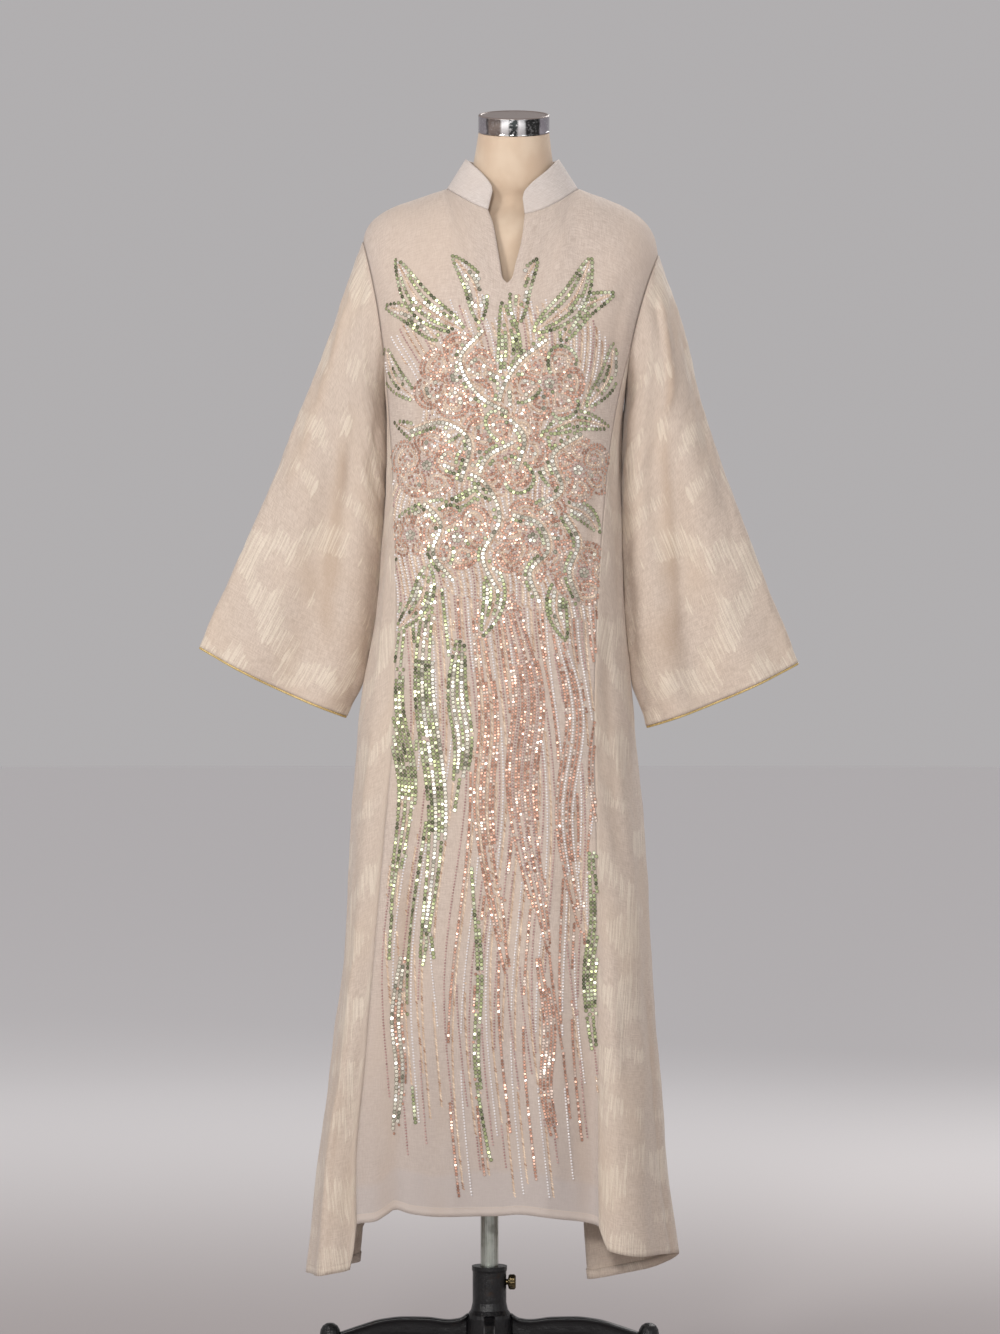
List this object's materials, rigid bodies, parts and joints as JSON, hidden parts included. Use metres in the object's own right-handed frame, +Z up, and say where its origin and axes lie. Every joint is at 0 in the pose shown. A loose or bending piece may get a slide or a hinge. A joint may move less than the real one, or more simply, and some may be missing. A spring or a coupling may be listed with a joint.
{
  "type": "abaya on a limbless dress form stand",
  "caption": "Long abaya with flared sleeves, a slit band collar and loose side panels, hung on a limbless dress form whose pole slides and turns in a footed cast base.",
  "frame": {"origin": "on the floor under the middle of the whole outline", "axes": "+Z up along the pole, the garment's front faces -Y, +X is the viewer's right"},
  "size_m": [0.8085, 0.471, 1.779],
  "materials": {
    "plain_cloth": "matt slub weave",
    "jacquard": "satin-figured jacquard",
    "gold_edge": "rolled lurex edge",
    "jersey": "matt knitted cover",
    "chrome": "polished",
    "wood": "matt",
    "aluminium": "satin",
    "cast_iron": "semi-gloss black lacquer",
    "brass": "worn"
  },
  "bodies": {
    "base": {"stand_hub": "cast_iron", "stand_leg_left": "cast_iron", "stand_leg_right": "cast_iron", "stand_leg_front": "cast_iron", "stand_leg_back": "cast_iron", "stand_foot_left": "cast_iron", "stand_foot_right": "cast_iron", "stand_foot_front": "cast_iron", "stand_foot_back": "cast_iron"},
    "screw": {"thumb_screw": "brass"},
    "mast": {"pole": "aluminium"},
    "form": {"form_torso": "jersey", "form_neck_cap": "chrome", "form_boss": "wood", "front_panel": "plain_cloth", "back_panel": "jacquard", "side_panel_left": "jacquard", "side_panel_right": "jacquard", "hem_front": "plain_cloth", "hem_back": "jacquard", "hem_left": "jacquard", "hem_right": "jacquard", "sleeve_left": "jacquard", "sleeve_right": "jacquard", "cuff_edge_left": "gold_edge", "cuff_edge_right": "gold_edge", "collar": "plain_cloth", "neck_facing": "plain_cloth"}
  },
  "joints": [
    {"name": "screw_turn", "type": "hinge", "parent": "base", "child": "screw", "pos_m": [-0.0135, 0, 0.195], "axis": [1, 0, 0], "continuous": true},
    {"name": "pole_slide", "type": "slide", "parent": "base", "child": "mast", "axis": [0, 0, 1], "range_m": [-0.04, 0.06]},
    {"name": "form_swivel", "type": "hinge", "parent": "mast", "child": "form", "pos_m": [-0.0135, 0, 0.8], "axis": [0, 0, 1], "continuous": true}
  ]
}
